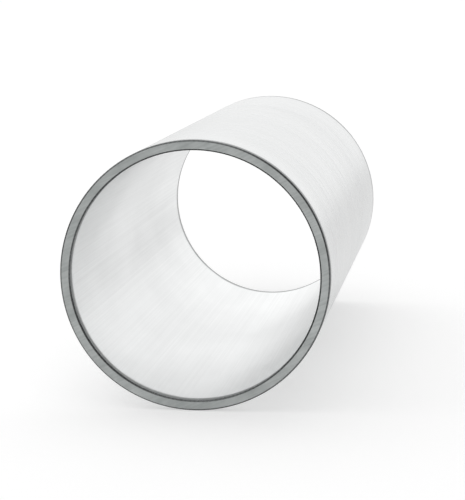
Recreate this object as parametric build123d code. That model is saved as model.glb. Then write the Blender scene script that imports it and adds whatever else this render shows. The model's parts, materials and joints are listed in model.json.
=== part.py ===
# A short cut length of plain round stainless steel tube, lying on its side on a level floor.
#
# The real thing is one piece of metal: a tube of even wall, sawn square to its axis at both ends,
# with the sharp outside and inside edge of each cut taken off at 45 degrees. The bore runs right
# through, and there is no seam, thread, socket or side hole.
#
# Frame: millimetres, +Z up. The axis runs along +Y. The origin is on the floor, midway along the
# line on which the tube rests, so the near end lies towards -Y and the far end towards +Y.
import os

from build123d import *

# Driving dimensions
OUTSIDE_DIAMETER = 76.1
WALL = 2.9
LENGTH = 200.0
OUTSIDE_DEBURR = 0.4
INSIDE_DEBURR = 0.4

# The two deburred edges of a cut end leave at least this share of a thin wall flat between them.
LEAST_FLAT_SHARE = 0.3

# Sizes that follow
outside_radius = OUTSIDE_DIAMETER / 2
bore_radius = outside_radius - WALL
axis_height = outside_radius
near_end = -LENGTH / 2
deepest_deburr = WALL * (1 - LEAST_FLAT_SHARE) / 2
outside_deburr = min(OUTSIDE_DEBURR, deepest_deburr)
inside_deburr = min(INSIDE_DEBURR, deepest_deburr)


def sawn_stock():
    """The tube as it leaves the saw: the ring of its section, drawn out along the axis."""
    near_cut = Plane(origin=(0, near_end, axis_height), z_dir=(0, 1, 0))
    ring = Circle(outside_radius) - Circle(bore_radius)
    return extrude(near_cut * ring, LENGTH)


def rims_by_radius(tube):
    """The circular edges at the two ends, in groups of like radius, the smallest first."""
    return tube.edges().filter_by(GeomType.CIRCLE).group_by(SortBy.RADIUS)


def deburred(tube):
    """The tube with the outside and then the inside edge of both cuts broken."""
    broken_outside = chamfer(rims_by_radius(tube)[-1], outside_deburr)
    return chamfer(rims_by_radius(broken_outside)[0], inside_deburr)


def main():
    os.makedirs("parts", exist_ok=True)
    tube = deburred(sawn_stock())
    tube.label = "tube"
    export_step(tube, "parts/tube.step")


main()
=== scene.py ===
"""A short cut length of plain round stainless steel tube, lying on a pale studio floor.

Sizes are in metres unless a name says otherwise. The tube lies along Y, its near end towards -Y.
"""

import json
import math

import bpy
import numpy as np
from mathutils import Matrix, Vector


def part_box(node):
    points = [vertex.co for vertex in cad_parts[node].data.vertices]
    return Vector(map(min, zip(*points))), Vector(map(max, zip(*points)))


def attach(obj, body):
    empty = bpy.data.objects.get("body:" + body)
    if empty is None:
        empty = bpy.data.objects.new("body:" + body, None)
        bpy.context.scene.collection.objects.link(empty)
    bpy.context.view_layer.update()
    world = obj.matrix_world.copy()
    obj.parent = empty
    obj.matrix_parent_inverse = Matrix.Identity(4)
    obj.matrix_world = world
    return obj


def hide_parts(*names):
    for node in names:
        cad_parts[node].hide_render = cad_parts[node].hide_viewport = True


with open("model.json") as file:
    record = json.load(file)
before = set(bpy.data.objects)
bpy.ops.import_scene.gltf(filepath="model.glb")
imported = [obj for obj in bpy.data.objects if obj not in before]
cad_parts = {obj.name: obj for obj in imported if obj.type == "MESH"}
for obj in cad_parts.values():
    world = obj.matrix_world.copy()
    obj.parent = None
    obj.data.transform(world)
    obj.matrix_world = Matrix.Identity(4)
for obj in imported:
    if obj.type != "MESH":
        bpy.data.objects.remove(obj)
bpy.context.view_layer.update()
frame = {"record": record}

# The camera
# It stands before the near end, to the right of the tube and above it, and looks down and to the
# left. Its lens is long, because both ends of the tube show as true circles.
LENS_MM = 149.85
SENSOR_MM = 36.0
NEAREST_SEEN = 0.01
CAMERA_PLACE = (0.0827, -0.6665, 0.1233)
LOOK_DOWN = math.radians(7.740)
LOOK_LEFT = math.radians(7.235)

long_lens = bpy.data.cameras.new("long_lens")
long_lens.lens = LENS_MM
long_lens.sensor_width = SENSOR_MM
long_lens.clip_start = NEAREST_SEEN
camera = bpy.data.objects.new("camera", long_lens)
camera.location = CAMERA_PLACE
camera.rotation_euler = (math.pi / 2 - LOOK_DOWN, 0, LOOK_LEFT)
bpy.context.scene.collection.objects.link(camera)
bpy.context.scene.camera = camera
bpy.context.scene.view_settings.view_transform = "Standard"

# The tube
# One piece of stainless steel, drawn to its size with an even wall and no weld seam, ground to a
# satin outside and pickled in the bore. Both ends are sawn square and dressed by hand, which takes
# the sharp edges off a little unevenly and leaves a narrow dull band beside each cut.
EDGE_WIDTH = 0.00040
EDGE_WANDER = 0.00007
EDGE_WAVES = (1, 2, 3, 5, 8)
EDGE_SEEDS = (3, 4, 5, 6)
CORNER_RADIUS = 0.00006

# How many points the mesh has: once round the tube, along each straight run of the wall's section
# between two of its corners, and over each rounded corner.
TURN_POINTS = 512
WALL_POINTS = 44
END_POINTS = 5
EDGE_POINTS = 2
CORNER_POINTS = 4

low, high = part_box("tube")
mounts = {mount["name"]: mount for mount in frame["record"]["mounts"]}
outside_radius = (high.z - low.z) / 2
bore_radius = mounts["bore"]["dims"]["r_mm"] / 1000
axis_height = (high.z + low.z) / 2
half_length = (high.y - low.y) / 2
turn = np.arange(TURN_POINTS) * 2 * math.pi / TURN_POINTS


def wander(angle, counts, seed):
    """The mean of sine waves that fit whole numbers of times round the tube, with seeded phases."""
    phases = np.random.default_rng(seed).uniform(0, 2 * math.pi, len(counts))
    return np.sin(np.multiply.outer(angle, counts) + phases).mean(axis=-1)


def edge_width(seed):
    """How far an edge is taken off at each angle: the set width and a slow wander."""
    return EDGE_WIDTH + EDGE_WANDER * wander(turn, EDGE_WAVES, seed)


def section_corners():
    """The wall section's eight corners as (corner, angle, (radius, place along the axis)).

    They go along the outside wall to the far cut, over it, back through the bore and over the near
    cut. A taken-off edge has two corners, each one edge width from where the sharp corner was.
    """
    near_outer, far_outer, far_inner, near_inner = (edge_width(seed) for seed in EDGE_SEEDS)
    corners = [
        (outside_radius, near_outer - half_length),
        (outside_radius, half_length - far_outer),
        (outside_radius - far_outer, half_length),
        (bore_radius + far_inner, half_length),
        (bore_radius, half_length - far_inner),
        (bore_radius, near_inner - half_length),
        (bore_radius + near_inner, -half_length),
        (outside_radius - near_outer, -half_length),
    ]
    all_round = np.zeros(TURN_POINTS)
    pairs = np.array([(radius + all_round, along + all_round) for radius, along in corners])
    return pairs.swapaxes(1, 2)


def section_stations(corners, run_points):
    """The section's outline as points (station, angle, (radius, place along the axis)).

    At each corner the surface's own direction turns by an eighth of a circle. The corner becomes a
    small arc: a centre set back along the middle direction, plus the arc's radius along directions
    that turn evenly. The run to the next arc is divided evenly.
    """
    eighth = math.pi / 4
    reach = CORNER_RADIUS * math.tan(eighth / 2)
    set_back = CORNER_RADIUS / math.cos(eighth / 2)
    stations = []
    for number, points in enumerate(run_points):
        facing = number * eighth
        middle = facing - eighth / 2
        sweep = np.linspace(facing - eighth, facing, CORNER_POINTS)
        arc = CORNER_RADIUS * np.stack([np.cos(sweep), np.sin(sweep)], axis=-1)
        arc -= set_back * np.array([math.cos(middle), math.sin(middle)])
        stations.append(corners[number] + arc[:, None, :])
        heading = np.array([-math.sin(facing), math.cos(facing)])
        start = corners[number] + reach * heading
        end = corners[(number + 1) % len(run_points)] - reach * heading
        share = np.linspace(0, 1, points + 2)[1:-1, None, None]
        stations.append(start + share * (end - start))
    return np.concatenate(stations)


# How the walls leave their true circles. A wave's depth is half of its swing, its pitch is in
# metres, its start in radians, and a twist or a drift in radians to the metre.
OVAL_DEPTH = 0.000015
OVAL_TWIST = 9.0
OVAL_START = 0.7
ROLL_DEPTH = 0.000006
ROLL_PITCH = 0.043
CROSS_DEPTH = 0.000004
CROSS_PITCH = 0.071
CROSS_START = 1.9
FLUTE_DEPTH = 0.000010
FLUTE_DRIFT = 0.25
FLUTE_WAVES = (23, 31, 37, 44, 53, 61)
FLUTE_SEED = 21


def oval(angle, along):
    """The tube's oval, from -1 to 1: the sine of twice the angle, turned slowly along the tube."""
    return np.sin(2 * angle + OVAL_TWIST * along + OVAL_START)


def outside_dip(angle, along):
    """How far the outside wall lies under its full radius, from 0 up.

    The oval and the two shallow helixes that the straightening rolls leave: sines of the angle plus
    the place along the tube, and of three times the angle less that place.
    """
    rolled = np.sin(angle + 2 * math.pi * along / ROLL_PITCH)
    crossed = np.sin(3 * angle - 2 * math.pi * along / CROSS_PITCH + CROSS_START)
    return (
        OVAL_DEPTH * (1 + oval(angle, along))
        + ROLL_DEPTH * (1 + rolled)
        + CROSS_DEPTH * (1 + crossed)
    )


def bore_dip(angle, along):
    """How far the bore lies outside its set radius, from 0 up.

    The outside wall's oval, the same way round, so that the wall stays even, and fine flutes from
    drawing: sines with many whole waves round the bore, which drift slightly along the tube.
    """
    flutes = wander(angle + FLUTE_DRIFT * along, FLUTE_WAVES, FLUTE_SEED)
    return OVAL_DEPTH * (1 - oval(angle, along)) + FLUTE_DEPTH * (1 + flutes)


OUTSIDE, EDGE, END, BORE = range(4)
cut = [(EDGE, EDGE_POINTS), (END, END_POINTS), (EDGE, EDGE_POINTS)]
runs = [(OUTSIDE, WALL_POINTS), *cut, (BORE, WALL_POINTS), *cut]
section = section_stations(section_corners(), [points for _, points in runs])

# The dips fade out over the cuts, to nothing midway between the outside and the bore.
radius = section[..., 0]
along = section[..., 1]
middle_radius = (outside_radius + bore_radius) / 2
half_wall = (outside_radius - bore_radius) / 2
outwards = np.clip((radius - middle_radius) / half_wall, 0, 1)
inwards = np.clip((middle_radius - radius) / half_wall, 0, 1)
radius = radius - outwards * outside_dip(turn, along) + inwards * bore_dip(turn, along)
places = np.stack(
    [radius * np.cos(turn), along, axis_height + radius * np.sin(turn)], axis=-1
)

# The faces: each joins a station to the next one, and a step round the tube to the next one. Those
# over a rounded corner have the taken-off edges' finish.
station_count = len(section)
station, step = np.meshgrid(np.arange(station_count), np.arange(TURN_POINTS), indexing="ij")
next_station = (station + 1) % station_count
next_step = (step + 1) % TURN_POINTS
quads = np.stack(
    [
        station * TURN_POINTS + step,
        next_station * TURN_POINTS + step,
        next_station * TURN_POINTS + next_step,
        station * TURN_POINTS + next_step,
    ],
    axis=-1,
).reshape(-1, 4)
strip_finish = np.concatenate(
    [[EDGE] * (CORNER_POINTS - 1) + [finish] * (points + 1) for finish, points in runs]
)
quad_finish = np.repeat(strip_finish, TURN_POINTS).astype(np.int32)

tube_mesh = bpy.data.meshes.new("steel_tube")
tube_mesh.vertices.add(places.size // 3)
tube_mesh.vertices.foreach_set("co", places.astype(np.float32).ravel())
tube_mesh.loops.add(quads.size)
tube_mesh.loops.foreach_set("vertex_index", quads.astype(np.int32).ravel())
tube_mesh.polygons.add(len(quads))
tube_mesh.polygons.foreach_set("loop_start", np.arange(0, quads.size, 4, dtype=np.int32))
tube_mesh.polygons.foreach_set("material_index", quad_finish)
tube_mesh.polygons.foreach_set("use_smooth", np.ones(len(quads), bool))
tube_mesh.update(calc_edges=True)

# A map for marks that follow the surface: U goes once round the tube and V along the section, both
# in turns of the outside wall, so that a pattern keeps its proportions on every face.
girth = 2 * math.pi * outside_radius
gaps = np.linalg.norm(np.roll(section, -1, axis=0) - section, axis=-1).mean(axis=1)
travel = np.concatenate([[0], np.cumsum(gaps)]) / girth
across = np.stack([station, station + 1, station + 1, station], axis=-1)
around = np.stack([step, step, step + 1, step + 1], axis=-1)
lay = np.stack([around / TURN_POINTS, travel[across]], axis=-1)
lay_map = tube_mesh.uv_layers.new(name="lay")
lay_map.data.foreach_set("uv", lay.astype(np.float32).ravel())

steel_tube = bpy.data.objects.new("steel_tube", tube_mesh)
bpy.context.scene.collection.objects.link(steel_tube)

# What the finishes share. Most of a grain's values lie in its usual span.
GRAIN_DETAIL = 3.0
GRAIN_ROUGHNESS = 0.55
GRAIN_SPAN = (0.3, 0.7)
PLAIN_EDGE_TINT = 1.0


def add_node(tree, kind, inputs=None, **settings):
    """Adds a node, sets its properties, sets or links its inputs, and returns its outputs."""
    node = tree.nodes.new(kind)
    for name, value in settings.items():
        setattr(node, name, value)
    for name, value in (inputs or {}).items():
        if isinstance(value, bpy.types.NodeSocket):
            tree.links.new(value, node.inputs[name])
        else:
            node.inputs[name].default_value = value
    return node.outputs


def arithmetic(tree, operation, first, second):
    """One number made from two."""
    return add_node(tree, "ShaderNodeMath", {0: first, 1: second}, operation=operation)[0]


def mean(tree, first, second):
    """The mean of two numbers."""
    return arithmetic(tree, "MULTIPLY", arithmetic(tree, "ADD", first, second), 0.5)


def grain(tree, place, stretch):
    """Noise from about 0 to 1 at a place, with so many grains to the metre along each axis."""
    scaled = add_node(tree, "ShaderNodeMapping", {"Vector": place, "Scale": stretch})[0]
    noise = {"Vector": scaled, "Scale": 1.0, "Detail": GRAIN_DETAIL, "Roughness": GRAIN_ROUGHNESS}
    return add_node(tree, "ShaderNodeTexNoise", noise)["Fac"]


def spread(tree, value, lowest, highest, span=GRAIN_SPAN):
    """A value's span stretched to run from lowest to highest, and held between them."""
    limits = {
        "Value": value,
        "From Min": span[0],
        "From Max": span[1],
        "To Min": lowest,
        "To Max": highest,
    }
    return add_node(tree, "ShaderNodeMapRange", limits)["Result"]


def between(tree, share, first, second):
    """A colour between two others, by share. The node's inputs 6 and 7 and output 2 are colours."""
    sides = {0: share, 6: first, 7: second}
    return add_node(tree, "ShaderNodeMix", sides, data_type="RGBA")[2]


def new_steel(name, edge_tint):
    """A bare metal surface: its material, its node tree, its shader and its own coordinates.

    The edge tint is how much of the light is left where the surface is seen at a low angle.
    """
    material = bpy.data.materials.new(name)
    material.use_nodes = True
    tree = material.node_tree
    shader = tree.nodes["Principled BSDF"].inputs
    shader["Metallic"].default_value = 1.0
    shader["Specular Tint"].default_value = (edge_tint, edge_tint, edge_tint, 1)
    place = add_node(tree, "ShaderNodeTexCoord")["Object"]
    return material, tree, shader, place


def give_finish(tree, shader, roughness, colour, height, strength, depth):
    """Gives a surface its roughness and its colour, and a fine relief from a height of 0 to 1."""
    relief = {"Strength": strength, "Distance": depth, "Height": height}
    tree.links.new(roughness, shader["Roughness"])
    tree.links.new(colour, shader["Base Color"])
    tree.links.new(add_node(tree, "ShaderNodeBump", relief)[0], shader["Normal"])


# The dull band beside each cut. Its border fades, frays and wanders by so many metres either way.
BAND_WIDTH = 0.0030
BAND_FADE = 0.0009
BAND_FRAY = 0.0006
BAND_WANDER = 0.0004
BAND_LINES = (60, 2400, 60)
BAND_CLOUDS = (45, 6, 45)
BAND_DULLNESS = 0.18
BAND_DARK = (0.29, 0.30, 0.30, 1)
BAND_PALE = (0.43, 0.44, 0.44, 1)


def dressed_band(tree, place, roughness, colour):
    """A wall's roughness and colour, with the dull band that the dressing wheel leaves at a cut.

    The band covers what lies further from the tube's middle than its border. The border wanders
    round the tube, and it frays into the wheel's own fine lines.
    """
    along = add_node(tree, "ShaderNodeSeparateXYZ", {"Vector": place})["Y"]
    away = add_node(tree, "ShaderNodeMath", {0: along}, operation="ABSOLUTE")[0]
    lines = grain(tree, place, BAND_LINES)
    frayed = spread(tree, lines, -BAND_FRAY, BAND_FRAY)
    wandering = spread(tree, grain(tree, place, BAND_CLOUDS), -BAND_WANDER, BAND_WANDER)
    reached = arithmetic(tree, "ADD", away, arithmetic(tree, "ADD", frayed, wandering))
    border = half_length - BAND_WIDTH
    cover = spread(tree, reached, 0, 1, (border - BAND_FADE, border + BAND_FADE))
    added = arithmetic(tree, "MULTIPLY", cover, BAND_DULLNESS)
    band = between(tree, spread(tree, lines, 0, 1), BAND_DARK, BAND_PALE)
    return arithmetic(tree, "ADD", roughness, added), between(tree, cover, colour, band)


SATIN_SCRATCHES = (45, 3200, 45)
SATIN_BANDS = (7, 260, 7)
SATIN_CLOUDS = (18, 14, 18)
SATIN_ROUGHNESS = (0.18, 0.32)
SATIN_TONES = (0.35, 0.65)
SATIN_DARK = (0.70, 0.71, 0.71, 1)
SATIN_PALE = (0.80, 0.81, 0.81, 1)
SATIN_EDGE_TINT = 0.85
SATIN_RELIEF = {"strength": 0.5, "depth": 0.000012}


def satin_ground():
    """The outside: a belt has left fine scratches that run round the tube, crowded and uneven."""
    material, tree, shader, place = new_steel("satin_ground_steel", SATIN_EDGE_TINT)
    scratches = mean(tree, grain(tree, place, SATIN_SCRATCHES), grain(tree, place, SATIN_BANDS))
    tone = mean(tree, scratches, grain(tree, place, SATIN_CLOUDS))
    roughness = spread(tree, scratches, *SATIN_ROUGHNESS)
    colour = between(tree, spread(tree, tone, 0, 1, SATIN_TONES), SATIN_DARK, SATIN_PALE)
    roughness, colour = dressed_band(tree, place, roughness, colour)
    give_finish(tree, shader, roughness, colour, scratches, **SATIN_RELIEF)
    return material


BORE_BROAD_LINES = (900, 4, 900)
BORE_FINE_LINES = (2600, 9, 2600)
BORE_CLOUDS = (30, 12, 30)
BORE_ROUGHNESS = (0.28, 0.33)
BORE_TONES = (0.375, 0.625)
BORE_DARK = (0.71, 0.72, 0.72, 1)
BORE_PALE = (0.87, 0.88, 0.88, 1)
BORE_RELIEF = {"strength": 0.04, "depth": 0.000005}


def pickled_bore():
    """The bore: even and a little duller than the outside, with fine draw lines along the tube."""
    material, tree, shader, place = new_steel("pickled_steel", PLAIN_EDGE_TINT)
    lines = mean(tree, grain(tree, place, BORE_BROAD_LINES), grain(tree, place, BORE_FINE_LINES))
    tone = mean(tree, lines, grain(tree, place, BORE_CLOUDS))
    roughness = spread(tree, lines, *BORE_ROUGHNESS)
    colour = between(tree, spread(tree, tone, 0, 1, BORE_TONES), BORE_DARK, BORE_PALE)
    roughness, colour = dressed_band(tree, place, roughness, colour)
    give_finish(tree, shader, roughness, colour, lines, **BORE_RELIEF)
    return material


SAW_SLANT = math.radians(24)
SAW_LINES = (40, 0, 1500)
END_CLOUDS = (160, 0, 160)
END_ROUGHNESS = (0.36, 0.50)
END_TONES = (0.35, 0.65)
END_DARK = (0.325, 0.345, 0.34, 1)
END_PALE = (0.50, 0.52, 0.515, 1)
END_RELIEF = {"strength": 0.5, "depth": 0.000015}


def sawn_end():
    """The cut: a dull mid-grey, with the saw's fine straight lines across the whole ring."""
    material, tree, shader, place = new_steel("sawn_steel", PLAIN_EDGE_TINT)
    slanted = {"Vector": place, "Rotation": (0, SAW_SLANT, 0)}
    lines = grain(tree, add_node(tree, "ShaderNodeMapping", slanted)[0], SAW_LINES)
    tone = mean(tree, lines, grain(tree, place, END_CLOUDS))
    roughness = spread(tree, lines, *END_ROUGHNESS)
    colour = between(tree, spread(tree, tone, 0, 1, END_TONES), END_DARK, END_PALE)
    give_finish(tree, shader, roughness, colour, lines, **END_RELIEF)
    return material


EDGE_MARKS = 180
EDGE_CLOUDS = (400, 400, 400)
EDGE_ROUGHNESS = (0.24, 0.38)
# Painted shade: the edges' two colours are near-black, far darker than the steel, to give dark
# lines along them.
EDGE_DARK = (0.10, 0.105, 0.105, 1)
EDGE_PALE = (0.135, 0.14, 0.14, 1)
EDGE_RELIEF = {"strength": 0.15, "depth": 0.000008}


def deburred_edge():
    """The taken-off edges: fine tool marks that cross the edge, a whole number round the tube.

    The wave texture's own waves are a tenth of pi long at scale 1, and U is 1 after one turn.
    The near-black colour is painted shade along the edges, much darker than bare steel.
    """
    material, tree, shader, place = new_steel("deburred_steel_painted_shade", PLAIN_EDGE_TINT)
    chart = add_node(tree, "ShaderNodeUVMap", uv_map="lay")[0]
    waves = {"Vector": chart, "Scale": EDGE_MARKS * math.pi / 10}
    marks = add_node(tree, "ShaderNodeTexWave", waves, bands_direction="X")["Fac"]
    roughness = spread(tree, grain(tree, place, EDGE_CLOUDS), *EDGE_ROUGHNESS)
    # The tool marks vary a near-black colour that is painted shade along the edges.
    colour = between(tree, marks, EDGE_DARK, EDGE_PALE)
    give_finish(tree, shader, roughness, colour, marks, **EDGE_RELIEF)
    return material


# In the order of OUTSIDE, EDGE, END and BORE.
for finish in (satin_ground(), deburred_edge(), sawn_end(), pickled_bore()):
    tube_mesh.materials.append(finish)
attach(steel_tube, "root")
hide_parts("tube")

# The floor
# A pale sweep with no edge in sight. It keeps the tube's soft shadow, and its own light makes it
# white to the eye and in the metal.
FLOOR_HALF = 8.0
FLOOR_PAINT = 0.62
FLOOR_LIFT = 0.46


def pale_floor():
    """Matt paint, and a light of its own that only the camera, metal and glass see."""
    material = bpy.data.materials.new("pale_floor")
    material.use_nodes = True
    tree = material.node_tree
    tree.nodes.clear()
    paint = {"Color": (FLOOR_PAINT, FLOOR_PAINT, FLOOR_PAINT, 1)}
    matt = add_node(tree, "ShaderNodeBsdfDiffuse", paint)[0]
    path = add_node(tree, "ShaderNodeLightPath")
    seen = arithmetic(tree, "MAXIMUM", path["Is Camera Ray"], path["Is Glossy Ray"])
    seen = arithmetic(tree, "MAXIMUM", seen, path["Is Transmission Ray"])
    strength = arithmetic(tree, "MULTIPLY", seen, FLOOR_LIFT)
    lift = add_node(tree, "ShaderNodeEmission", {"Strength": strength})[0]
    both = add_node(tree, "ShaderNodeAddShader", {0: matt, 1: lift})[0]
    add_node(tree, "ShaderNodeOutputMaterial", {"Surface": both})
    return material


floor_mesh = bpy.data.meshes.new("floor")
floor_corners = [
    (-FLOOR_HALF, -FLOOR_HALF, 0),
    (FLOOR_HALF, -FLOOR_HALF, 0),
    (FLOOR_HALF, FLOOR_HALF, 0),
    (-FLOOR_HALF, FLOOR_HALF, 0),
]
floor_mesh.from_pydata(floor_corners, [], [(0, 1, 2, 3)])
floor_mesh.materials.append(pale_floor())
floor = bpy.data.objects.new("floor", floor_mesh)
bpy.context.scene.collection.objects.link(floor)

# The light
# A mid-grey room with four wide soft windows: overhead, low down beyond the far end, part way up to
# the left of that, and part way up behind the near end. Where two overlap, the brighter one counts.
# The room is large, so they light the floor evenly.
ROOM_GREY = 0.40
OVERHEAD = {"towards": (-0.35, 0.25, 0.90), "full": 24, "edge": 61, "strength": 0.88}
BEYOND = {"towards": (0.09, 0.96, 0.13), "full": 8, "edge": 29, "strength": 0.84}
LEFT_OF_BEYOND = {"towards": (-0.38, 0.78, 0.48), "full": 14, "edge": 36, "strength": 0.84}
BEHIND = {"towards": (0.20, -0.80, 0.50), "full": 8, "edge": 42, "strength": 0.60}
WHITE = (1, 1, 1, 1)


def window_light(tree, direction, towards, full, edge, strength):
    """Light from a round window, which fades smoothly from its middle to its edge.

    It is all there within the full angle of the middle and gone beyond the edge angle, both in
    degrees. Between them it follows a smooth step of the cosine of the angle.
    """
    aim = {0: direction, 1: Vector(towards).normalized()}
    cosine = add_node(tree, "ShaderNodeVectorMath", aim, operation="DOT_PRODUCT")["Value"]
    fade = {
        "Value": cosine,
        "From Min": math.cos(math.radians(edge)),
        "From Max": math.cos(math.radians(full)),
        "To Max": strength,
    }
    return add_node(tree, "ShaderNodeMapRange", fade, interpolation_type="SMOOTHSTEP")["Result"]


def room_light():
    """The world: white to the camera, and the room with its windows to everything else."""
    world = bpy.data.worlds.new("room")
    bpy.context.scene.world = world
    world.use_nodes = True
    tree = world.node_tree
    tree.nodes.clear()
    direction = add_node(tree, "ShaderNodeTexCoord")["Generated"]
    level = 0.0
    for window in (OVERHEAD, BEYOND, LEFT_OF_BEYOND, BEHIND):
        level = arithmetic(tree, "MAXIMUM", window_light(tree, direction, **window), level)
    level = arithmetic(tree, "ADD", level, ROOM_GREY)
    room = add_node(tree, "ShaderNodeBackground", {"Color": WHITE, "Strength": level})[0]
    white = add_node(tree, "ShaderNodeBackground", {"Color": WHITE, "Strength": 1.0})[0]
    seen = add_node(tree, "ShaderNodeLightPath")["Is Camera Ray"]
    either = add_node(tree, "ShaderNodeMixShader", {0: seen, 1: room, 2: white})[0]
    add_node(tree, "ShaderNodeOutputWorld", {"Surface": either})


room_light()
